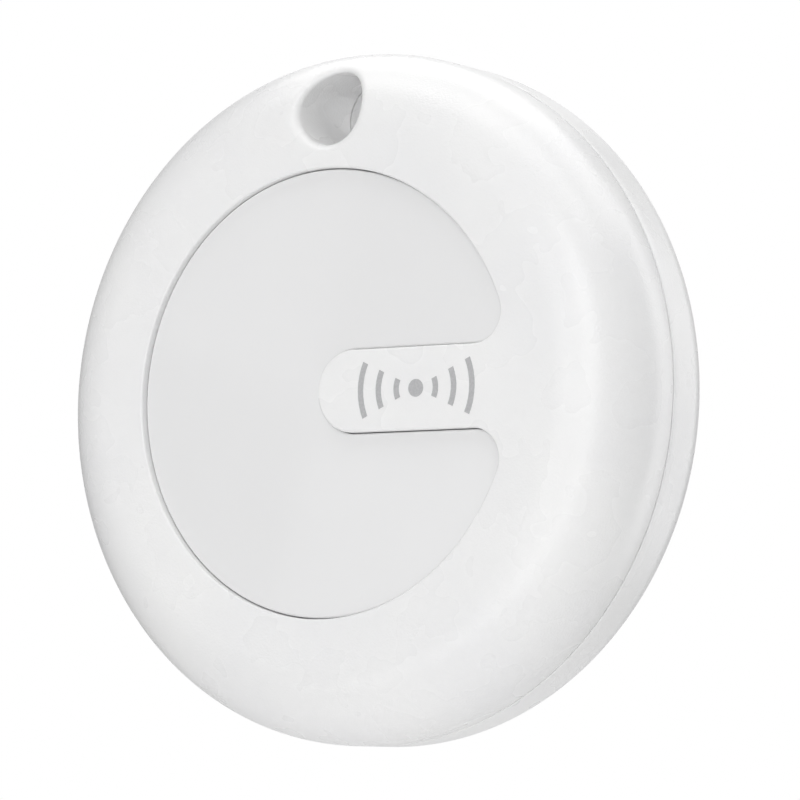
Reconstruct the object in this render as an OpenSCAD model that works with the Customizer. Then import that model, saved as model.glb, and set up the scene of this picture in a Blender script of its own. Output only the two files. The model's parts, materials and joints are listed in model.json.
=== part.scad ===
// Round tracker tag for a key ring: two plastic shells on one parting plane, a sprung press plate let
// into the front, a round board with a sounder, and a coin cell under a lift-off rear cover.
//
// Each sub-part is drawn with the tag lying on its back: +Z is the disc's axis, z = 0 is the back face,
// the front face is up and the keyring hole is towards +Y. hang() then stands the tag up as it hangs from
// a key ring: the front faces -Y, +Z is up, and the origin is the middle of the keyring hole.

/* [Case] */
// Diameter of the tag
case_d = 36; // [35.6:0.2:38]
// Overall thickness, front face to back face
case_t = 9.1; // [9.1:0.1:10]
// Height of the parting plane above the back face
rear_t = 4.1; // [3.9:0.1:4.2]
// Radius of the rounded front shoulder
shoulder_r = 4; // [3:0.1:4.4]
// Radius of the rounded rear edge
rear_edge_r = 2.1; // [1.5:0.1:2.4]
// Thickness of the rear cover's skin
skin_t = 1; // [0.8:0.1:1.1]
// Width of the front shell's wall at the parting plane
rim_w = 1.4; // [1.2:0.1:1.6]

/* [Keyring hole] */
// Distance from the disc's axis to the middle of the keyring hole
hole_pitch = 14.8; // [14.6:0.1:15]
// Radius of the keyring hole
hole_r = 1.95; // [1.8:0.05:2.1]
// Wall left round the keyring hole at the parting plane
hole_wall = 0.9; // [0.8:0.1:1]

/* [Front inlay] */
// Radius of the round recess in the front face
recess_r = 11.6; // [11.2:0.1:12]
// How far the press plate lies below the front face
recess_depth = 0.35; // [0.2:0.05:0.4]
// Width of the tab that reaches into the recess
tab_w = 4.24; // [3.6:0.02:4.8]
// Distance of the tab's round tip past the disc's axis
tab_reach = 0.2; // [0:0.1:1]
// Radius where the tab's sides meet the edge of the recess
tab_root_r = 1.6; // [1:0.1:2]

/* [Press button] */
// Thickness of the press plate
plate_t = 0.7; // [0.6:0.05:0.8]
// Gap round the press plate
plate_gap = 0.08; // [0.05:0.01:0.12]
// Height of the foam springs under the press plate
spring_h = 0.5; // [0.45:0.05:0.6]
// Thickness of the shell's floor under the foam springs
floor_t = 0.6; // [0.5:0.05:0.7]
// Distance from the disc's axis to the press plate's stem
stem_x = 7.6; // [7.5:0.1:7.9]
// Radius of the press plate's stem
stem_r = 1; // [0.8:0.1:1.1]

/* [Coin cell] */
// Diameter of the coin cell
cell_d = 20; // [20:0.1:20.1]
// Height of the coin cell
cell_h = 3.2; // [3:0.1:3.2]

/* [Board] */
// Thickness of the circuit board
board_t = 0.8; // [0.6:0.1:0.8]
// Room between the coin cell and the board for the contact spring
contact_room = 0.25; // [0.2:0.05:0.3]
// Radius of the sounder's brass plate
piezo_r = 7.5; // [6.5:0.1:7.5]
// Distance from the disc's axis to the sounder's middle
piezo_x = 2.5; // [2.4:0.1:2.8]

/* [Hidden] */

$fn = 96;
slip = 0.02;                // gap left between faces that only just touch
fit = 0.1;                  // gap left between parts that slide together
over = 1;                   // how far a cut runs past the face it opens

case_r = case_d / 2;
front_t = case_t - rear_t;
cell_r = cell_d / 2;

// Plans, from the rim inwards
tongue_w = 0.8;             // wall of the rear cover's locating tongue
seat_r = case_r - rim_w;    // inside of the front shell where the tongue enters it
bay_r = seat_r - fit - tongue_w;
board_r = bay_r - 3 * fit;
hole_boss_r = hole_r + hole_wall;
hole_land_r = hole_boss_r + fit + tongue_w;
notch_r = hole_land_r + 2 * fit;

// Heights, from the back face to the front face
tongue_h = 0.75;
gasket_t = 0.3;
ledge_z = rear_t + tongue_h + slip + gasket_t;
pad_t = 0.18;
cell_z = skin_t + pad_t + slip;
board_z = cell_z + cell_h + contact_room;
board_top = board_z + board_t;
plate_top = case_t - recess_depth;
plate_z = plate_top - plate_t;
floor_top = plate_z - spring_h;
floor_z = floor_top - floor_t;

// Press button and its switch
stem_hole_r = stem_r + 0.3;
switch_w = 3.2;
switch_h = 0.8;
switch_cover_t = 0.1;
switch_well_r = 0.85;
plunger_r = 0.75;
plunger_h = 0.7;
dome_h = 0.3;
plunger_z = board_top + 0.15 + dome_h;
stem_tip_z = plunger_z + plunger_h + slip;

// Sounder, stacked under the shell's floor
foil_t = 0.15;
piezo_plate_z = floor_z - 2 * foil_t;
piezo_ceramic_z = piezo_plate_z - foil_t;
piezo_ceramic_r = 0.66 * piezo_r;

// Coin cell
can_t = 0.25;
cap_r = cell_r - 1.2;
crimp_h = 0.5;

// Frame that holds the cell and clamps the board
frame_inner_r = cell_r + 0.2;
frame_wall = 0.65;
frame_flange_t = 0.8;
frame_z = cell_z + 0.3;
screw_pitch = 13;
screw_angles = [30, 150, 270];
screw_r = 0.6;
screw_head_r = 1.15;
screw_head_h = 0.6;
boss_r = 1.6;
boss_h = floor_z - board_top;

white = [0.93, 0.93, 0.92];
gloss_white = [0.88, 0.88, 0.89];
steel = [0.72, 0.73, 0.75];
black_rubber = [0.12, 0.12, 0.13];

// ---------------------------------------------------------------- placing

// Stands the tag up on edge, hanging from the middle of its keyring hole
module hang() {
    translate([0, 0, -hole_pitch]) rotate([90, 0, 0]) translate([0, 0, -case_t / 2]) children();
}

module at_hole() {
    translate([0, hole_pitch, 0]) children();
}

module at_polar(r, angle) {
    rotate([0, 0, angle]) translate([r, 0, 0]) children();
}

module at_screws() {
    for (angle = screw_angles) at_polar(screw_pitch, angle) children();
}

// ---------------------------------------------------------------- shared shapes

// Disc with a square lower edge and an upper edge rounded to radius e
module round_disc(r, h, e) {
    rotate_extrude() {
        difference() {
            square([r, h]);
            translate([r - e, h - e]) square(e + over);
        }
        intersection() {
            translate([r - e, h - e]) circle(e);
            translate([r - e, h - e]) square(e);
        }
    }
}

// Plan of a space inside the wall: a disc with a round bite out of it that clears the keyring hole
module bay_plan(r, bite_r) {
    difference() {
        circle(r);
        at_hole() circle(bite_r);
    }
}

// Slab of that plan from height z, h thick
module bay(r, bite_r, z, h) {
    translate([0, 0, z]) linear_extrude(h) bay_plan(r, bite_r);
}

// Wall between two such plans
module bay_ring(outer_r, inner_r, outer_bite_r, inner_bite_r, z, h) {
    translate([0, 0, z]) linear_extrude(h) difference() {
        bay_plan(outer_r, outer_bite_r);
        bay_plan(inner_r, inner_bite_r);
    }
}

module ring(outer_r, inner_r, z, h) {
    translate([0, 0, z]) difference() {
        cylinder(r = outer_r, h = h);
        translate([0, 0, -over]) cylinder(r = inner_r, h = h + 2 * over);
    }
}

module hole_bore(z, h) {
    at_hole() translate([0, 0, z]) cylinder(r = hole_r, h = h);
}

// Plan of the front recess: a disc with a round-ended tab let in from the right, whose root corners are
// rounded. shrink moves the whole outline inwards.
module recess_plan(shrink = 0) {
    outer_r = recess_r - shrink;
    half_w = tab_w / 2 + shrink;
    root_r = tab_root_r - shrink;
    lobe_y = half_w + root_r;
    lobe_x = sqrt(pow(outer_r - root_r, 2) - pow(lobe_y, 2));
    lobe_angle = atan2(lobe_y, lobe_x);
    past_r = outer_r + over;
    difference() {
        circle(outer_r);
        translate([tab_w / 2 - tab_reach, 0]) circle(half_w);
        translate([tab_w / 2 - tab_reach, -half_w]) square([past_r, 2 * half_w]);
        for (side = [-1, 1]) difference() {
            polygon([
                [lobe_x, side * lobe_y],
                [lobe_x, 0],
                [past_r, 0],
                past_r * [cos(lobe_angle), side * sin(lobe_angle)]
            ]);
            translate([lobe_x, side * lobe_y]) circle(root_r);
        }
    }
}

// Rectangular chip standing on the board at [x, y], turned by angle
module on_board(x, y, size, angle = 0) {
    translate([x, y, board_top]) rotate([0, 0, angle]) translate([-size.x / 2, -size.y / 2, 0]) cube(size);
}

// ---------------------------------------------------------------- front shell and button

module front_shell() {
    color(white) difference() {
        union() {
            difference() {
                translate([0, 0, rear_t]) round_disc(case_r, front_t, shoulder_r);
                bay(seat_r, hole_boss_r, rear_t - over, ledge_z - rear_t + over);
                bay(bay_r, hole_land_r, rear_t, floor_z - rear_t);
                translate([0, 0, floor_top]) linear_extrude(case_t) recess_plan();
            }
            at_screws() translate([0, 0, board_top]) cylinder(r = boss_r, h = boss_h + floor_t / 2);
        }
        hole_bore(rear_t - over, front_t + 2 * over);
        translate([-stem_x, 0, floor_z - over]) cylinder(r = stem_hole_r, h = case_t);
        at_screws() translate([0, 0, board_top - over]) cylinder(r = screw_r, h = boss_h + over);
    }
}

// A plain radio-wave sign printed on the tab: a dot between two sets of arcs
module printed_mark() {
    middle_x = 5.9;
    dot_r = 0.45;
    line_w = 0.32;
    arc_radii = [1.2, 2.3, 3.4];
    half_angle = 24;
    reach = 2 * arc_radii[2];
    color([0.7, 0.7, 0.71]) translate([middle_x, 0, case_t]) linear_extrude(slip) {
        circle(dot_r);
        for (r = arc_radii) intersection() {
            difference() {
                circle(r + line_w / 2);
                circle(r - line_w / 2);
            }
            for (side = [-1, 1]) {
                polygon([[0, 0], side * reach * [cos(half_angle), -sin(half_angle)],
                         side * reach * [cos(half_angle), sin(half_angle)]]);
            }
        }
    }
}

module press_plate() {
    color(gloss_white) {
        translate([0, 0, plate_z]) linear_extrude(plate_t) recess_plan(plate_gap);
        translate([-stem_x, 0, stem_tip_z]) cylinder(r = stem_r, h = plate_z + plate_t / 2 - stem_tip_z);
    }
}

// Foam springs bonded between the press plate and the shell's floor
module spring_pads() {
    color([0.35, 0.35, 0.37]) for (angle = [60, 120, 240, 300]) {
        at_polar(9, angle) translate([0, 0, floor_top]) cylinder(r = 1.2, h = spring_h);
    }
}

// Soft ring that closes the hole round the stem
module stem_seal() {
    color(black_rubber) translate([-stem_x, 0, 0]) ring(stem_r + 1, stem_r + slip, floor_top, spring_h);
}

// ---------------------------------------------------------------- board and what stands on it

module circuit_board() {
    color([0.06, 0.3, 0.18]) difference() {
        bay(board_r, notch_r, board_z, board_t);
        at_screws() translate([0, 0, board_z - over]) cylinder(r = screw_r + fit, h = board_t + 2 * over);
    }
}

module radio_chip() {
    color([0.1, 0.1, 0.11]) on_board(2.4, -1.2, [5, 5, 0.85]);
}

module main_crystal() {
    color(steel) on_board(6.6, -4.4, [2.5, 2, 0.55]);
}

module clock_crystal() {
    color(steel) on_board(-2.2, -6.4, [3.2, 1.5, 0.75], 20);
}

module chip_antenna() {
    color([0.85, 0.87, 0.9]) at_polar(12.9, -40) on_board(0, 0, [2, 7, 0.8]);
}

// Capacitors and resistors: a row beside the chip and a fan that leads to the antenna
module small_passives() {
    size = [0.5, 1, 0.5];
    color([0.6, 0.5, 0.38]) {
        for (k = [0:5]) on_board(-0.1 + k, 2.6, size);
        for (k = [0:3]) on_board(-1.4, -3.1 + 1.1 * k, size, 90);
        for (k = [0:2]) at_polar(9.4 + 0.9 * k, -40) on_board(0, 0, size);
    }
}

// ---------------------------------------------------------------- switch under the stem

module switch_body() {
    color(black_rubber) difference() {
        on_board(-stem_x, 0, [switch_w, switch_w, switch_h]);
        translate([-stem_x, 0, plunger_z - dome_h]) cylinder(r = switch_well_r, h = switch_h);
    }
}

module switch_cover() {
    tab_size = [1, switch_cover_t, 0.6];
    color(steel) {
        difference() {
            translate([0, 0, switch_h]) on_board(-stem_x, 0, [switch_w, switch_w, switch_cover_t]);
            translate([-stem_x, 0, board_top]) cylinder(r = switch_well_r, h = switch_h + over);
        }
        for (side = [-1, 1]) {
            translate([-stem_x - tab_size.x / 2, side * (switch_w + tab_size.y) / 2 - tab_size.y / 2,
                       board_top + switch_h + switch_cover_t - tab_size.z]) cube(tab_size);
        }
    }
}

// Snap dome that the plunger presses flat
module switch_dome() {
    rise = dome_h - slip;
    span_r = plunger_r;
    ball_r = (span_r * span_r + rise * rise) / (2 * rise);
    leaf_t = 0.06;
    color(steel) translate([-stem_x, 0, plunger_z - dome_h]) rotate_extrude() difference() {
        translate([0, rise - ball_r]) circle(ball_r);
        translate([0, rise - ball_r]) circle(ball_r - leaf_t);
        translate([-2 * ball_r, -4 * ball_r]) square([4 * ball_r, 4 * ball_r]);
        translate([-2 * ball_r, -over]) square([2 * ball_r, 2 * ball_r]);
    }
}

module switch_plunger() {
    color([0.75, 0.72, 0.62]) translate([-stem_x, 0, plunger_z]) cylinder(r = plunger_r, h = plunger_h);
}

// ---------------------------------------------------------------- sounder

module piezo_adhesive() {
    color([0.9, 0.88, 0.8]) translate([piezo_x, 0, 0]) ring(piezo_r, piezo_r - 1, floor_z - foil_t, foil_t);
}

module piezo_plate() {
    color([0.8, 0.66, 0.33]) translate([piezo_x, 0, piezo_plate_z]) cylinder(r = piezo_r, h = foil_t);
}

module piezo_ceramic() {
    color([0.82, 0.82, 0.8]) translate([piezo_x, 0, piezo_ceramic_z]) cylinder(r = piezo_ceramic_r, h = foil_t);
}

// Bent leaf from the board up to height top: a foot, a slope and a flat contact
module leaf_spring(top, w) {
    leaf_t = 0.12;
    run = 1.4;
    rise = top - board_top;
    rotate([90, 0, 0]) translate([0, board_top, -w / 2]) linear_extrude(w) polygon([
        [0, 0], [run, 0], [run, leaf_t], [leaf_t, leaf_t], [run, rise - leaf_t], [run + 0.5, rise - leaf_t],
        [run + 0.5, rise], [run - leaf_t, rise], [0, leaf_t]
    ]);
}

// One leaf on the ceramic and one on the brass plate's rim
module piezo_springs() {
    color([0.85, 0.75, 0.5]) {
        translate([piezo_x - 1.8, -4.4, 0]) leaf_spring(piezo_ceramic_z, 0.8);
        translate([piezo_x - 1.8, 6.2, 0]) leaf_spring(piezo_plate_z, 0.8);
    }
}

// ---------------------------------------------------------------- cell, its contacts and its frame

// Star spring on the board that presses on the middle of the cell
module negative_contact() {
    hub_t = 0.1;
    arm_w = 1.2;
    color([0.8, 0.78, 0.7]) {
        translate([0, 0, board_z - hub_t]) cylinder(r = 2, h = hub_t);
        for (angle = [0, 120, 240]) at_polar(1, angle) {
            translate([0, -arm_w / 2, board_z - hub_t]) cube([4, arm_w, hub_t]);
            translate([3.2, 0, board_z - contact_room + slip]) cylinder(r = arm_w / 2, h = contact_room / 2);
        }
    }
}

// Side leaf that touches the cell's can, in a gap of the frame's wall
module positive_contact() {
    leaf_t = 0.15;
    leaf_w = 2.6;
    leaf_z = cell_z + 0.8;
    color([0.8, 0.78, 0.7]) rotate([0, 0, 180]) {
        translate([cell_r + slip, -leaf_w / 2, leaf_z]) cube([leaf_t, leaf_w, board_z - leaf_z]);
        translate([cell_r + slip, -leaf_w / 2, board_z - leaf_t]) cube([2, leaf_w, leaf_t]);
    }
}

// Moulded frame: a wall round the cell and a flange screwed down on the board
module battery_frame() {
    wall_r = frame_inner_r + frame_wall;
    gap_w = 3;
    color([0.2, 0.2, 0.22]) difference() {
        union() {
            bay(board_r, notch_r, board_z - frame_flange_t, frame_flange_t);
            bay(wall_r, notch_r, frame_z, board_z - frame_z);
        }
        translate([0, 0, frame_z - over]) cylinder(r = frame_inner_r, h = board_z);
        at_screws() translate([0, 0, frame_z]) cylinder(r = screw_r + fit, h = board_z);
        rotate([0, 0, 180]) translate([cell_r - over, -gap_w / 2, frame_z - over]) cube([3.2, gap_w, board_z]);
        for (angle = [225, 315]) rotate([0, 0, angle]) {
            translate([cell_r - over, -1.5 * gap_w / 2, frame_z - over])
                cube([2 * over, 1.5 * gap_w, board_z - frame_flange_t - frame_z + over]);
        }
    }
}

// Pan-head screws with a cross recess, driven from the battery side
module frame_screws() {
    shank_h = floor_z - board_z + frame_flange_t - 3 * fit;
    slot = [1.4, 0.3, 0.3];
    color(steel) at_screws() translate([0, 0, board_z - frame_flange_t]) {
        cylinder(r = screw_r - slip, h = shank_h);
        translate([0, 0, -screw_head_h]) difference() {
            cylinder(r = screw_head_r, h = screw_head_h);
            for (angle = [0, 90]) {
                rotate([0, 0, angle]) translate([-slot.x / 2, -slot.y / 2, -slot.z / 2]) cube(slot);
            }
        }
    }
}

// Cup of the coin cell, whose flat end faces the rear cover
module cell_can() {
    rim_h = cell_h - crimp_h;
    color(steel) translate([0, 0, cell_z]) difference() {
        mirror([0, 0, 1]) translate([0, 0, -rim_h]) round_disc(cell_r, rim_h, 0.4);
        translate([0, 0, can_t]) cylinder(r = cell_r - can_t, h = cell_h);
    }
}

module cell_gasket() {
    color([0.2, 0.2, 0.25]) ring(cell_r - can_t, cap_r, cell_z + can_t, cell_h - crimp_h - can_t);
}

module cell_cap() {
    cap_z = cell_z + can_t;
    color(steel) translate([0, 0, cap_z]) round_disc(cap_r, cell_h - can_t, 0.3);
}

// ---------------------------------------------------------------- rear cover and its seal

// Rubber ring on the front shell's ledge, led round the keyring hole's boss
module cover_gasket() {
    color(black_rubber) bay_ring(seat_r - slip, bay_r + slip, hole_boss_r + slip, hole_land_r - slip,
                                 ledge_z - gasket_t, gasket_t);
}

// Foam disc that keeps the cell against its contact
module battery_pad() {
    color([0.3, 0.3, 0.32]) translate([0, 0, skin_t]) cylinder(r = 6, h = pad_t);
}

module rear_cover() {
    pry_w = 5;
    pry_depth = 0.7;
    color(white) difference() {
        union() {
            mirror([0, 0, 1]) translate([0, 0, -rear_t]) round_disc(case_r, rear_t, rear_edge_r);
            bay(seat_r - fit, hole_boss_r + fit, rear_t - tongue_h, 2 * tongue_h);
        }
        bay(bay_r, hole_land_r, skin_t, case_t);
        hole_bore(-over, rear_t + tongue_h + 2 * over);
        rotate([0, 0, 180]) translate([case_r - pry_depth, -pry_w / 2, rear_t - pry_depth])
            cube([over, pry_w, over]);
    }
}

hang() front_shell();
hang() printed_mark();
hang() press_plate();
hang() spring_pads();
hang() stem_seal();
hang() circuit_board();
hang() radio_chip();
hang() main_crystal();
hang() clock_crystal();
hang() chip_antenna();
hang() small_passives();
hang() switch_body();
hang() switch_cover();
hang() switch_dome();
hang() switch_plunger();
hang() piezo_adhesive();
hang() piezo_plate();
hang() piezo_ceramic();
hang() piezo_springs();
hang() negative_contact();
hang() positive_contact();
hang() battery_frame();
hang() frame_screws();
hang() cell_can();
hang() cell_cap();
hang() cell_gasket();
hang() cover_gasket();
hang() battery_pad();
hang() rear_cover();
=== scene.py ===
"""Looks of a round white tracker tag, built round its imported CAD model.

The two shells and the press plate are remade here with the small roundings that moulded parts have. They
are drawn lying on the parting plane, in millimetres: x and y are the plan, with the keyring hole towards
+y, and w is the distance from the parting plane. on_front() and on_rear() then stand them up in the CAD
frame, in metres. Every other piece is its CAD node, painted with the material of its slot.
"""
import json
import math

import bmesh
import bpy
import numpy as np
from mathutils import Matrix, Vector
from mathutils.geometry import delaunay_2d_cdt


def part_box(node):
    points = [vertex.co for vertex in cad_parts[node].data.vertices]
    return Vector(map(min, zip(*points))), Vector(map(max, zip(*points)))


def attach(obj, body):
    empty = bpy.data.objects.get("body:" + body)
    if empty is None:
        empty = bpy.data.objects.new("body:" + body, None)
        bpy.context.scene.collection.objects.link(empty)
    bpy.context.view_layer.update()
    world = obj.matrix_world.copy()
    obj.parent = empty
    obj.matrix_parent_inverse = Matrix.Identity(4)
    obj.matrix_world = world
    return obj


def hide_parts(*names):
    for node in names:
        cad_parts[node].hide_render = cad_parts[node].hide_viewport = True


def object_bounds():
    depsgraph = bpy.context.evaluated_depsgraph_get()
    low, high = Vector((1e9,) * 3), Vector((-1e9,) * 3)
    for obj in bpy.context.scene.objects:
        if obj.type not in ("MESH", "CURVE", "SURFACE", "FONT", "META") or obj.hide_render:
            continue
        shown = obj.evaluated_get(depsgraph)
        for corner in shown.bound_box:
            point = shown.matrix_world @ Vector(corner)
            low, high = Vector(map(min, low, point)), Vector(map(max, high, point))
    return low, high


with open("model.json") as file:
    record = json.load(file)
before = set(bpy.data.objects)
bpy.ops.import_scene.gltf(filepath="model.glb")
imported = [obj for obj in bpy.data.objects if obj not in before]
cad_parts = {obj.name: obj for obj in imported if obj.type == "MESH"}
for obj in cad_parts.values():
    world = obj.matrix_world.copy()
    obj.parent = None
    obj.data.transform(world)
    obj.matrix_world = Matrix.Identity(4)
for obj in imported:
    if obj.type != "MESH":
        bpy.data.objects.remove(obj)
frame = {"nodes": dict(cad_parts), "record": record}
CAD_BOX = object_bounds()
MM = 0.001

# ---------------------------------------------------------------- sizes that the CAD model gives, in mm

SHELL_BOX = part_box("front_shell")
PLATE_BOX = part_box("press_plate")
HOLE = next(m for m in frame["record"]["mounts"] if m["name"] == "keyring_hole")

CASE_R = (SHELL_BOX[1].x - SHELL_BOX[0].x) / 2 / MM
HOLE_PITCH = -(SHELL_BOX[1].z + SHELL_BOX[0].z) / 2 / MM
HOLE_R = HOLE["dims"]["r_mm"]
PARTING_Y = SHELL_BOX[1].y / MM


def front_of(node):
    """How far a node's front lies before the parting plane."""
    return PARTING_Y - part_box(node)[0].y / MM


def back_of(node):
    """How far a node's back lies behind the parting plane."""
    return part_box(node)[1].y / MM - PARTING_Y


def half_width(node):
    low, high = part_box(node)
    return (high.x - low.x) / 2 / MM


# Heights before or behind the parting plane
FRONT_T = front_of("front_shell")
REAR_T = back_of("rear_cover")
TONGUE_H = front_of("rear_cover")
PLATE_TOP = front_of("press_plate")
STEM_TIP = -back_of("press_plate")
RECESS_FLOOR = -back_of("spring_pads")
UNDER_FLOOR = front_of("piezo_adhesive")
BOSS_END = front_of("circuit_board")
COVER_FLOOR = back_of("battery_pad")
SEAT_DEPTH = front_of("cover_gasket")
STEM_AT = ((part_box("switch_plunger")[0].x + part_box("switch_plunger")[1].x) / 2 / MM, 0.0)

# ---------------------------------------------------------------- sizes of the mouldings, in mm

# SLIP is the clearance round the cover gasket. PLATE_GAP is the CAD model's gap round the press plate, and
# PLATE_REVEAL is the narrower gap that is drawn here, to show as fine as in the photo.
SLIP = 0.02
PLATE_GAP = 0.08
PLATE_REVEAL = 0.045
SHOULDER_R = 4.0
REAR_EDGE_R = 2.1
RECESS_R = PLATE_GAP - PLATE_BOX[0].x / MM
TAB_W = 4.24
TAB_MIDDLE_X = 1.92
TAB_ROOT_R = 1.6
PLATE_T = 0.7
STEM_R = 1.0
STEM_HOLE_R = 1.3
SEAT_R = half_width("cover_gasket") + SLIP
HOLE_BOSS_R = 2.85
TONGUE_FIT = 0.1
TONGUE_W = 0.8
BAY_R = SEAT_R - TONGUE_FIT - TONGUE_W
HOLE_LAND_R = HOLE_BOSS_R + TONGUE_FIT + TONGUE_W
BOSS_R = 1.6
SCREW_HOLE_R = 0.6
SCREW_PITCH = 13.0
SCREW_ANGLES = (30, 150, 270)
NOTCH_W = 5.0
NOTCH_DEPTH = 0.7
NOTCH_RAMP = 0.6

# Roundings of the moulded edges, in mm
HOLE_EDGE = 0.5
RECESS_EDGE = 0.12
PLATE_EDGE = 0.1
PARTING_EDGE = 0.04

# The shadow gap between the shells, cut into the rear cover round its rim and round the keyring hole
PARTING_GAP = 0.13
PARTING_GAP_DEPTH = 0.85
HOLE_GAP_DEPTH = 0.3

# How finely the outlines and roundings are drawn
RIM_COUNT = 360
HOLE_COUNT = 96
SMALL_COUNT = 48
RECESS_COUNT = 300
TAB_ROOT_COUNT = 30
TAB_SIDE_COUNT = 24
TAB_END_COUNT = 60
BAY_COUNT = 240
BITE_COUNT = 60
ARC_STEPS = 26
EDGE_STEPS = 7
PARTING_STEPS = 3

# Corners closer than WELD, in mm, are one corner. HOLE_CLEARANCE keeps the rim's corners off the keyring
# hole's mouth. Edges that turn by more than SHARP_ANGLE are shaded as sharp.
WELD = 1e-4
PLAN_WELD = 1e-6
HOLE_CLEARANCE = 0.04
SHARP_ANGLE = math.radians(40)


# ---------------------------------------------------------------- outlines in the plan

def arc(centre, radius, start, end, count):
    """Points on an arc from angle start to angle end, in degrees, the last one left out."""
    angles = [math.radians(start + (end - start) * k / count) for k in range(count)]
    return [(centre[0] + radius * math.cos(a), centre[1] + radius * math.sin(a)) for a in angles]


def circle(radius, centre=(0.0, 0.0), count=RIM_COUNT):
    return arc(centre, radius, 0, 360, count)


def hole_circle(radius):
    return circle(radius, (0.0, HOLE_PITCH), HOLE_COUNT)


def line(start, end, count):
    """Points on a straight line, the last one left out."""
    return [tuple(a + (b - a) * k / count for a, b in zip(start, end)) for k in range(count)]


def recess_outline(shrink=0.0):
    """The C-shaped outline of the front recess: a disc with a round-ended tab let in from the right.
    shrink moves it inwards all round, and each point keeps its place in the list."""
    outer_r = RECESS_R - shrink
    half_w = TAB_W / 2 + shrink
    root_r = TAB_ROOT_R - shrink
    lobe_y = half_w + root_r
    lobe_x = math.sqrt((outer_r - root_r) ** 2 - lobe_y**2)
    lobe_angle = math.degrees(math.atan2(lobe_y, lobe_x))
    points = arc((0, 0), outer_r, lobe_angle, 360 - lobe_angle, RECESS_COUNT)
    points += arc((lobe_x, -lobe_y), root_r, -lobe_angle, 90, TAB_ROOT_COUNT)
    points += line((lobe_x, -half_w), (TAB_MIDDLE_X, -half_w), TAB_SIDE_COUNT)
    points += arc((TAB_MIDDLE_X, 0), half_w, -90, -270, TAB_END_COUNT)
    points += line((TAB_MIDDLE_X, half_w), (lobe_x, half_w), TAB_SIDE_COUNT)
    points += arc((lobe_x, lobe_y), root_r, -90, lobe_angle, TAB_ROOT_COUNT)
    return points


def bay_outline(radius, bite_r):
    """A circle with a round bite that goes round the keyring hole."""
    y = (radius**2 - bite_r**2 + HOLE_PITCH**2) / (2 * HOLE_PITCH)
    x = math.sqrt(radius**2 - y**2)
    start = math.degrees(math.atan2(y, -x))
    end = math.degrees(math.atan2(y, x)) + 360
    bite_start = math.degrees(math.atan2(y - HOLE_PITCH, x))
    bite_end = -180 - bite_start
    round_part = arc((0, 0), radius, start, end, BAY_COUNT)
    return round_part + arc((0, HOLE_PITCH), bite_r, bite_start, bite_end, BITE_COUNT)


# ---------------------------------------------------------------- meshes from outlines

def rounding(radius, steps=EDGE_STEPS):
    """(distance from the edge, drop below the face) along a quarter round, from its wall to its face."""
    angles = [math.pi / 2 * k / steps for k in range(steps + 1)]
    return [(radius * (1 - math.cos(a)), radius * (1 - math.sin(a))) for a in angles]


def inside(points, outline):
    """For each point, whether it lies inside the closed outline."""
    p = np.asarray(points)[:, None, :]
    a = np.asarray(outline)[None]
    b = np.roll(a, -1, axis=1)
    straddles = (a[..., 1] > p[..., 1]) != (b[..., 1] > p[..., 1])
    rise = np.where(b[..., 1] == a[..., 1], 1.0, b[..., 1] - a[..., 1])
    crossing = a[..., 0] + (p[..., 1] - a[..., 1]) * (b[..., 0] - a[..., 0]) / rise
    return (straddles & (p[..., 0] < crossing)).sum(axis=1) % 2 == 1


class Moulding:
    """Faces of one closed body in (x, y, w), collected from sheets and walls that share their edges."""

    def __init__(self):
        self.points = []
        self.faces = []

    def add(self, points, faces):
        first = len(self.points)
        self.points += points
        self.faces += [[first + i for i in f] for f in faces]

    def wall(self, *loops):
        """Bands of quads through closed loops of 3-D points with equal counts."""
        for low, high in zip(loops, loops[1:]):
            n = len(low)
            self.add(low + high, [(k, (k + 1) % n, n + (k + 1) % n, n + k) for k in range(n)])

    def sheet(self, outline, holes, height, guides=(), dots=()):
        """Fills the plan between an outline and its holes. height is w, or a function of x and y.
        guides are more outlines that the triangles follow, and dots are loose corners for them."""
        loops = [outline, *holes, *guides]
        flat = [Vector(p) for loop in loops for p in loop] + [Vector(p) for p in dots]
        edges = []
        first = 0
        for loop in loops:
            n = len(loop)
            edges += [(first + k, first + (k + 1) % n) for k in range(n)]
            first += n
        verts, _, tris, *_ = delaunay_2d_cdt(flat, edges, [], 0, PLAN_WELD)
        plan = np.array([v[:] for v in verts])
        middles = plan[np.array(tris)].mean(axis=1)
        keep = inside(middles, outline)
        for hole in holes:
            keep &= ~inside(middles, hole)
        rise = height if callable(height) else lambda x, y: height
        self.add([(x, y, rise(x, y)) for x, y in plan.tolist()], [t for t, k in zip(tris, keep) if k])

    def build(self, name, place):
        """The mesh object, with doubled points joined, slivers removed and its faces turned outwards."""
        mesh = bpy.data.meshes.new(name)
        mesh.from_pydata([place(*p) for p in self.points], [], self.faces)
        bm = bmesh.new()
        bm.from_mesh(mesh)
        bmesh.ops.remove_doubles(bm, verts=bm.verts, dist=WELD * MM)
        bmesh.ops.dissolve_degenerate(bm, edges=bm.edges, dist=WELD * MM)
        bmesh.ops.delete(bm, geom=[v for v in bm.verts if not v.link_faces], context="VERTS")
        bmesh.ops.recalc_face_normals(bm, faces=bm.faces)
        for face in bm.faces:
            face.smooth = True
        for edge in bm.edges:
            edge.smooth = edge.calc_face_angle(0) < SHARP_ANGLE
        bm.to_mesh(mesh)
        bm.free()
        thing = bpy.data.objects.new(name, mesh)
        bpy.context.collection.objects.link(thing)
        even = thing.modifiers.new("even_shading", "WEIGHTED_NORMAL")
        even.keep_sharp = True
        return thing


def on_front(x, y, w):
    return (x * MM, (PARTING_Y - w) * MM, (y - HOLE_PITCH) * MM)


def on_rear(x, y, w):
    return (x * MM, (PARTING_Y + w) * MM, (y - HOLE_PITCH) * MM)


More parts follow.
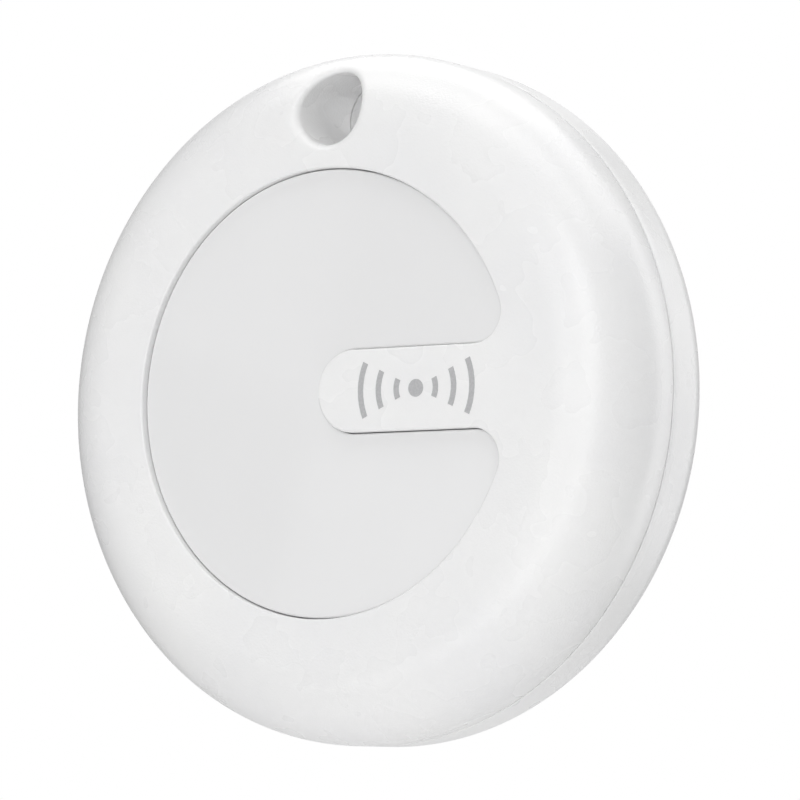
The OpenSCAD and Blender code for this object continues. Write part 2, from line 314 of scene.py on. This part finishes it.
def at(outline, w):
    """An outline lifted to height w, or to a function of x and y."""
    rise = w if callable(w) else lambda x, y: w
    return [(x, y, rise(x, y)) for x, y in outline]


def dome(depth, edge_r):
    """Height of a disc's outer face whose rim is rounded to edge_r. The distance past its flat is rounded
    off, so that corners on the rim itself all get one height."""
    flat_r = CASE_R - edge_r

    def height(x, y):
        past = min(max(round(math.hypot(x, y) - flat_r, 4), 0.0), edge_r)
        return depth - edge_r + math.sqrt(edge_r**2 - past**2)

    return height


def near_hole(point, radius):
    return math.dist(point, (0, HOLE_PITCH)) < radius + HOLE_CLEARANCE


def outer_face(body, face, edge_r, cuts=()):
    """Outer face and rounded rim of a shell, down to its side wall, with the rounded mouth of the keyring
    hole. cuts are outlines left open in the face."""
    flat_r = CASE_R - edge_r
    mouth_r = HOLE_R + HOLE_EDGE
    rings = [circle(flat_r + edge_r * math.sin(math.pi / 2 * k / ARC_STEPS)) for k in range(ARC_STEPS)]
    broken = [ring for ring in rings if any(near_hole(p, mouth_r) for p in ring)]
    whole = [ring for ring in rings if ring not in broken]
    dots = [p for ring in broken for p in ring if not near_hole(p, mouth_r)]
    body.sheet(circle(CASE_R), [hole_circle(mouth_r), *cuts], face, whole, dots)
    body.wall(*[at(hole_circle(HOLE_R + d), lambda x, y, drop=drop: face(x, y) - drop)
                for d, drop in reversed(rounding(HOLE_EDGE))])


def notched(loop):
    """A rim outline with the pry notch let into it on its -x side, by a flat with sloping ends."""
    flats = [NOTCH_DEPTH * min(max((NOTCH_W / 2 - abs(y)) / NOTCH_RAMP, 0.0), 1.0) for _, y in loop]
    return [(max(x, flat - CASE_R), y) for (x, y), flat in zip(loop, flats)]


# ---------------------------------------------------------------- the mouldings

def front_shell():
    body = Moulding()
    face = dome(FRONT_T, SHOULDER_R)
    outer_face(body, face, SHOULDER_R, [recess_outline(-RECESS_EDGE)])
    parting_edge = rounding(PARTING_EDGE, PARTING_STEPS)
    body.wall(*[at(circle(CASE_R - d), drop) for d, drop in reversed(parting_edge)],
              at(circle(CASE_R), FRONT_T - SHOULDER_R))
    body.wall(at(hole_circle(HOLE_R), lambda x, y: face(x, y) - HOLE_EDGE),
              *[at(hole_circle(HOLE_R + d), drop) for d, drop in parting_edge])
    body.wall(*[at(recess_outline(-d), FRONT_T - drop) for d, drop in reversed(rounding(RECESS_EDGE))],
              at(recess_outline(), RECESS_FLOOR))
    stem_hole = circle(STEM_HOLE_R, STEM_AT, SMALL_COUNT)
    body.sheet(recess_outline(), [stem_hole], RECESS_FLOOR)
    body.wall(at(stem_hole, RECESS_FLOOR), at(stem_hole, UNDER_FLOOR))

    seat = bay_outline(SEAT_R, HOLE_BOSS_R)
    bay = bay_outline(BAY_R, HOLE_LAND_R)
    body.sheet(circle(CASE_R - PARTING_EDGE), [hole_circle(HOLE_R + PARTING_EDGE), seat], 0.0)
    body.wall(at(seat, 0.0), at(seat, SEAT_DEPTH))
    body.sheet(seat, [bay], SEAT_DEPTH)
    body.wall(at(bay, SEAT_DEPTH), at(bay, UNDER_FLOOR))
    centres = [arc((0, 0), SCREW_PITCH, a, a, 1)[0] for a in SCREW_ANGLES]
    bosses = [circle(BOSS_R, c, SMALL_COUNT) for c in centres]
    body.sheet(bay, [stem_hole, *bosses], UNDER_FLOOR)
    for boss, centre in zip(bosses, centres):
        hole = circle(SCREW_HOLE_R, centre, SMALL_COUNT)
        body.wall(at(boss, UNDER_FLOOR), at(boss, BOSS_END))
        body.sheet(boss, [hole], BOSS_END)
        body.wall(at(hole, BOSS_END), at(hole, UNDER_FLOOR))
        body.sheet(hole, [], UNDER_FLOOR)
    return body.build("front_shell_moulding", on_front)


def rear_cover():
    body = Moulding()
    face = dome(REAR_T, REAR_EDGE_R)
    outer_face(body, face, REAR_EDGE_R)
    rim = circle(CASE_R)
    reveal = notched(circle(CASE_R - PARTING_GAP_DEPTH))
    parting_edge = rounding(PARTING_EDGE, PARTING_STEPS)
    body.wall(at(reveal, 0.0), at(reveal, PARTING_GAP),
              *[at(notched(circle(CASE_R - d)), PARTING_GAP + drop) for d, drop in reversed(parting_edge)],
              at(notched(rim), NOTCH_DEPTH), at(rim, NOTCH_DEPTH), at(rim, REAR_T - REAR_EDGE_R))
    gap_r = HOLE_R + HOLE_GAP_DEPTH
    body.wall(at(hole_circle(HOLE_R), lambda x, y: face(x, y) - HOLE_EDGE),
              *[at(hole_circle(HOLE_R + d), PARTING_GAP + drop) for d, drop in parting_edge],
              at(hole_circle(gap_r), PARTING_GAP), at(hole_circle(gap_r), 0.0))
    tongue = bay_outline(SEAT_R - TONGUE_FIT, HOLE_BOSS_R + TONGUE_FIT)
    bay = bay_outline(BAY_R, HOLE_LAND_R)
    body.sheet(reveal, [hole_circle(gap_r), tongue], 0.0)
    body.wall(at(tongue, 0.0), at(tongue, -TONGUE_H))
    body.sheet(tongue, [bay], -TONGUE_H)
    body.wall(at(bay, -TONGUE_H), at(bay, COVER_FLOOR))
    body.sheet(bay, [], COVER_FLOOR)
    return body.build("rear_cover_moulding", on_rear)


def press_plate():
    body = Moulding()
    plate_foot = PLATE_TOP - PLATE_T
    body.wall(at(recess_outline(PLATE_REVEAL), plate_foot),
              *[at(recess_outline(PLATE_REVEAL + d), PLATE_TOP - drop) for d, drop in rounding(PLATE_EDGE)])
    body.sheet(recess_outline(PLATE_REVEAL + PLATE_EDGE), [], PLATE_TOP)
    stem = circle(STEM_R, STEM_AT, SMALL_COUNT)
    body.sheet(recess_outline(PLATE_REVEAL), [stem], plate_foot)
    body.wall(at(stem, plate_foot), at(stem, STEM_TIP))
    body.sheet(stem, [], STEM_TIP)
    return body.build("press_plate_moulding", on_front)


# ---------------------------------------------------------------- materials

class Recipe:
    """A node material on one Principled shader, with short ways to add patterns in millimetres."""

    def __init__(self, name, colour, roughness, **constants):
        self.material = bpy.data.materials.new(name)
        self.material.use_nodes = True
        self.nodes = self.material.node_tree.nodes
        self.links = self.material.node_tree.links
        self.shader = self.nodes["Principled BSDF"]
        self.shader.inputs["Base Color"].default_value = (*colour, 1)
        self.shader.inputs["Roughness"].default_value = roughness
        for socket, value in constants.items():
            self.shader.inputs[socket.replace("_", " ")].default_value = value
        self.place = self.nodes.new("ShaderNodeTexCoord").outputs["Object"]

    def noise(self, size_mm, detail=2.0, stretch=None):
        """Soft noise whose features are about size_mm across. stretch scales its axes."""
        node = self.nodes.new("ShaderNodeTexNoise")
        node.inputs["Scale"].default_value = 1 / (size_mm * MM)
        node.inputs["Detail"].default_value = detail
        place = self.place
        if stretch:
            mapping = self.nodes.new("ShaderNodeMapping")
            mapping.inputs["Scale"].default_value = stretch
            self.links.new(place, mapping.inputs["Vector"])
            place = mapping.outputs["Vector"]
        self.links.new(place, node.inputs["Vector"])
        return node.outputs["Fac"]

    def cells(self, size_mm):
        """Rounded cells about size_mm apart, as left by spark erosion in a mould."""
        node = self.nodes.new("ShaderNodeTexVoronoi")
        node.feature = "SMOOTH_F1"
        node.inputs["Scale"].default_value = 1 / (size_mm * MM)
        node.inputs["Smoothness"].default_value = 0.6
        self.links.new(self.place, node.inputs["Vector"])
        return node.outputs["Distance"]

    def span(self, value, low, high, to_low, to_high):
        """Maps value from low..high to to_low..to_high, clamped."""
        node = self.nodes.new("ShaderNodeMapRange")
        sockets = ("From Min", "From Max", "To Min", "To Max")
        for socket, number in zip(sockets, (low, high, to_low, to_high)):
            node.inputs[socket].default_value = number
        self.links.new(value, node.inputs["Value"])
        return node.outputs["Result"]

    def colours(self, value, first, second, low=0.35, high=0.65):
        """Base colour that runs from first to second as value goes from low to high."""
        node = self.nodes.new("ShaderNodeValToRGB")
        node.color_ramp.elements[0].position = low
        node.color_ramp.elements[0].color = (*first, 1)
        node.color_ramp.elements[1].position = high
        node.color_ramp.elements[1].color = (*second, 1)
        self.links.new(value, node.inputs["Fac"])
        self.links.new(node.outputs["Color"], self.shader.inputs["Base Color"])

    def rough(self, value, to_low, to_high, low=0.35, high=0.65):
        self.links.new(self.span(value, low, high, to_low, to_high), self.shader.inputs["Roughness"])

    def bump(self, value, height_mm):
        """Raises the surface by up to height_mm. Later bumps add to earlier ones."""
        node = self.nodes.new("ShaderNodeBump")
        node.inputs["Distance"].default_value = height_mm * MM
        self.links.new(value, node.inputs["Height"])
        old = self.shader.inputs["Normal"]
        if old.is_linked:
            self.links.new(old.links[0].from_socket, node.inputs["Normal"])
        self.links.new(node.outputs["Normal"], old)


def shell_white():
    """Satin white plastic with the fine grain of a spark-eroded mould."""
    m = Recipe("shell_white", (0.86, 0.86, 0.86), 0.27, Specular_IOR_Level=0.5)
    m.colours(m.noise(7.0, 3.0), (0.845, 0.845, 0.85), (0.87, 0.87, 0.868))
    m.rough(m.noise(3.0), 0.265, 0.285)
    m.bump(m.cells(0.12), 0.008)
    m.bump(m.noise(0.07, 3.0), 0.004)
    return m.material


def gloss_white():
    """Polished white plate with hairlines that only show in its roughness."""
    m = Recipe("gloss_white", (0.81, 0.81, 0.815), 0.05, Specular_IOR_Level=0.5, Coat_Weight=0.3,
               Coat_Roughness=0.03)
    m.colours(m.noise(9.0, 2.0), (0.805, 0.805, 0.808), (0.815, 0.815, 0.818))
    m.rough(m.noise(0.5, 4.0, (1.0, 1.0, 9.0)), 0.04, 0.07)
    m.bump(m.noise(2.5, 1.0), 0.0006)
    return m.material


def grey_ink():
    m = Recipe("grey_ink", (0.46, 0.46, 0.47), 0.5)
    m.colours(m.noise(0.12, 3.0), (0.43, 0.43, 0.44), (0.49, 0.49, 0.50))
    m.bump(m.noise(0.1, 2.0), 0.004)
    return m.material


def foam():
    m = Recipe("foam", (0.08, 0.08, 0.085), 0.95)
    m.colours(m.cells(0.12), (0.03, 0.03, 0.035), (0.12, 0.12, 0.125), 0.1, 0.6)
    m.bump(m.cells(0.12), 0.05)
    return m.material


def black_rubber():
    m = Recipe("black_rubber", (0.02, 0.02, 0.022), 0.6)
    m.colours(m.noise(0.6, 4.0), (0.014, 0.014, 0.016), (0.03, 0.03, 0.032))
    m.rough(m.noise(0.3), 0.5, 0.75)
    m.bump(m.noise(0.08), 0.008)
    return m.material


def board_green():
    """Solder mask, lighter where it lies over copper tracks."""
    m = Recipe("board_green", (0.01, 0.12, 0.05), 0.3, Coat_Weight=0.3)
    m.colours(m.noise(1.2, 0.0, (1.0, 1.0, 4.0)), (0.006, 0.075, 0.03), (0.015, 0.15, 0.06), 0.46, 0.5)
    m.rough(m.noise(0.4), 0.25, 0.4)
    m.bump(m.noise(1.2, 0.0, (1.0, 1.0, 4.0)), 0.02)
    return m.material


def chip_black():
    m = Recipe("chip_black", (0.02, 0.02, 0.021), 0.55)
    m.colours(m.noise(0.1, 4.0), (0.014, 0.014, 0.015), (0.035, 0.035, 0.036))
    m.bump(m.noise(0.05, 3.0), 0.004)
    return m.material


def ceramic(name, first, second):
    m = Recipe(name, first, 0.45)
    m.colours(m.noise(0.3, 4.0), first, second)
    m.rough(m.noise(0.2), 0.35, 0.6)
    m.bump(m.noise(0.06, 2.0), 0.004)
    return m.material


def moulded(name, first, second, roughness=0.5):
    """Plain moulded plastic with faint flow marks."""
    m = Recipe(name, first, roughness)
    m.colours(m.noise(1.5, 3.0, (1.0, 1.0, 3.0)), first, second)
    m.rough(m.noise(0.3), roughness - 0.07, roughness + 0.08)
    m.bump(m.noise(0.12, 2.0), 0.006)
    return m.material


def metal(name, first, second, roughness, grain=(1.0, 1.0, 12.0)):
    """Rolled or plated metal with its rolling lines along one axis."""
    m = Recipe(name, first, roughness, Metallic=1.0)
    m.colours(m.noise(1.2, 4.0), first, second)
    m.rough(m.noise(0.25, 4.0, grain), roughness - 0.08, roughness + 0.12)
    m.bump(m.noise(0.15, 3.0, grain), 0.003)
    return m.material


MATERIALS = {
    "shell_white": shell_white(),
    "gloss_white": gloss_white(),
    "grey_ink": grey_ink(),
    "foam": foam(),
    "black_rubber": black_rubber(),
    "board_green": board_green(),
    "chip_black": chip_black(),
    "ceramic_white": ceramic("ceramic_white", (0.70, 0.74, 0.76), (0.82, 0.84, 0.86)),
    "ceramic_brown": ceramic("ceramic_brown", (0.30, 0.19, 0.10), (0.42, 0.28, 0.16)),
    "ceramic_silver": ceramic("ceramic_silver", (0.55, 0.55, 0.54), (0.66, 0.66, 0.65)),
    "plunger_cream": moulded("plunger_cream", (0.66, 0.60, 0.42), (0.72, 0.66, 0.48)),
    "adhesive_tape": moulded("adhesive_tape", (0.62, 0.58, 0.46), (0.72, 0.68, 0.55), 0.7),
    "frame_grey": moulded("frame_grey", (0.022, 0.022, 0.025), (0.035, 0.035, 0.038)),
    "cell_gasket": moulded("cell_gasket", (0.015, 0.016, 0.022), (0.025, 0.026, 0.032), 0.35),
    "steel_can": metal("steel_can", (0.58, 0.59, 0.60), (0.68, 0.69, 0.70), 0.28),
    "screw_steel": metal("screw_steel", (0.46, 0.46, 0.47), (0.58, 0.58, 0.58), 0.32),
    "cell_steel": metal("cell_steel", (0.66, 0.67, 0.67), (0.74, 0.75, 0.75), 0.24),
    "brass_plate": metal("brass_plate", (0.72, 0.50, 0.20), (0.82, 0.60, 0.28), 0.28),
    "gold_contact": metal("gold_contact", (0.80, 0.58, 0.24), (0.88, 0.66, 0.32), 0.22),
    "nickel_contact": metal("nickel_contact", (0.60, 0.57, 0.50), (0.70, 0.67, 0.60), 0.26),
}


def paint(thing, material):
    thing.data.materials.clear()
    thing.data.materials.append(MATERIALS[material])


# ---------------------------------------------------------------- putting the pieces in place

SLOT_OF = {s["node"]: s["material_slot"] for s in frame["record"]["subparts"]}
BODY_OF = {n: b for b, nodes in frame["record"]["behaviour"]["bodies"].items() for n in nodes}

for make, node in ((front_shell, "front_shell"), (rear_cover, "rear_cover"), (press_plate, "press_plate")):
    piece = make()
    paint(piece, SLOT_OF[node])
    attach(piece, BODY_OF[node])
    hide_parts(node)

for node, thing in frame["nodes"].items():
    paint(thing, SLOT_OF[node])


# ---------------------------------------------------------------- floor, light and camera

# Lengths here are in metres. GLINT_LEAN, in degrees, turns the two panels that the press plate faintly
# reflects.
DISC_CENTRE = Vector((0.0, PARTING_Y, -HOLE_PITCH)) * MM
FLOOR_SIZE = 2.0
FLOOR_DROP = 0.25
TENT = 0.5
GLINT_LEAN = -13.8
PURE_WHITE = (1.0, 1.0, 1.0, 1.0)


def stage_floor():
    """Pale floor below the tag, which hangs in the air."""
    bpy.ops.mesh.primitive_plane_add(size=FLOOR_SIZE, location=(0, 0, CAD_BOX[0].z - FLOOR_DROP))
    floor = bpy.context.object
    floor.name = "floor"
    m = Recipe("floor_white", (0.86, 0.86, 0.86), 0.7)
    m.colours(m.noise(60.0, 3.0), (0.84, 0.84, 0.84), (0.87, 0.87, 0.87))
    floor.data.materials.append(m.material)


def panel(name, middle, facing, width, depth, radiance, lean=0.0):
    """Soft flat light round the tag, which the camera doesn't see. middle is from the disc's centre and
    width and depth are its sides, in units of TENT. It shines along facing, its brightness is radiance, and
    it leans by that many degrees in its own plane."""
    lamp = bpy.data.lights.new(name, "AREA")
    lamp.shape = "RECTANGLE"
    lamp.size = width * TENT
    lamp.size_y = depth * TENT
    lamp.energy = math.pi * lamp.size * lamp.size_y * radiance
    thing = bpy.data.objects.new(name, lamp)
    thing.location = DISC_CENTRE + Vector(middle) * TENT
    aim = Vector(facing).to_track_quat("-Z", "Y").to_matrix()
    thing.rotation_euler = (aim @ Matrix.Rotation(math.radians(lean), 3, "Z")).to_euler()
    thing.visible_camera = False
    bpy.context.collection.objects.link(thing)


def white_room(strength):
    """Even, dim light from all round. The camera itself sees a pure white background instead."""
    world = bpy.data.worlds.new("white_room")
    bpy.context.scene.world = world
    world.use_nodes = True
    nodes = world.node_tree.nodes
    links = world.node_tree.links
    room = nodes["Background"]
    room.inputs["Color"].default_value = PURE_WHITE
    room.inputs["Strength"].default_value = strength
    backdrop = nodes.new("ShaderNodeBackground")
    backdrop.inputs["Color"].default_value = PURE_WHITE
    mix = nodes.new("ShaderNodeMixShader")
    links.new(nodes.new("ShaderNodeLightPath").outputs["Is Camera Ray"], mix.inputs["Fac"])
    links.new(room.outputs["Background"], mix.inputs[1])
    links.new(backdrop.outputs["Background"], mix.inputs[2])
    links.new(mix.outputs["Shader"], nodes["World Output"].inputs["Surface"])


def camera(azimuth, elevation, roll, distance, lens, across, rise):
    """Looks at the tag from azimuth (0 is -Y and 90 is +X) and elevation, in degrees, and from distance, in
    metres. across and rise slide the camera sideways and up, in mm, to frame the tag."""
    data = bpy.data.cameras.new("camera")
    data.lens = lens
    data.sensor_width = 36.0
    data.clip_start = 0.01
    data.clip_end = 20.0
    thing = bpy.data.objects.new("camera", data)
    a, e = math.radians(azimuth), math.radians(elevation)
    back = Vector((math.sin(a) * math.cos(e), -math.cos(a) * math.cos(e), math.sin(e)))
    turn = (-back).to_track_quat("-Z", "Y").to_matrix() @ Matrix.Rotation(math.radians(roll), 3, "Z")
    slide = turn @ Vector((across, rise, 0.0)) * MM
    thing.location = DISC_CENTRE + back * distance + slide
    thing.rotation_euler = turn.to_euler()
    bpy.context.collection.objects.link(thing)
    bpy.context.scene.camera = thing


stage_floor()
white_room(strength=0.25)
panel("front_upper_right", (0.66, -1.2, 0.66), (0, 1, 0), 0.64, 0.64, 3.3)
panel("front_right", (0.66, -1.2, 0.0), (0, 1, 0), 0.64, 0.64, 2.4)
panel("front_low", (0.2, -1.2, -0.66), (0, 1, 0), 0.8, 0.64, 2.1)
panel("front_left", (-0.1, -1.2, 0.1), (0, 1, 0), 0.64, 0.64, 1.3)
panel("top", (0.0, -0.34, 1.0), (0, 0, -1), 2.0, 0.52, 1.87)
panel("top_back", (0.0, 0.5, 1.0), (0, 0, -1), 2.0, 0.8, 1.87)
panel("rear_right", (0.66, 1.0, 0.0), (0, -1, 0), 0.64, 2.0, 1.84)
panel("rear_left", (-0.69, 1.0, 0.1), (0, -1, 0), 1.0, 1.6, 0.4)
panel("low", (0.0, -0.9, -0.45), (0, 0, 1), 1.4, 0.4, 1.6)
panel("plate_glint_low", (-0.769, -1.2, -0.011), (0, 1, 0), 0.24, 0.24, 0.5, GLINT_LEAN)
panel("plate_glint_high", (-0.945, -1.2, 0.279), (0, 1, 0), 0.24, 0.24, 0.3, GLINT_LEAN)
camera(azimuth=34.6, elevation=-5.07, roll=0.85, distance=0.220, lens=189.8, across=1.23, rise=0.016)
bpy.context.scene.view_settings.view_transform = "Standard"
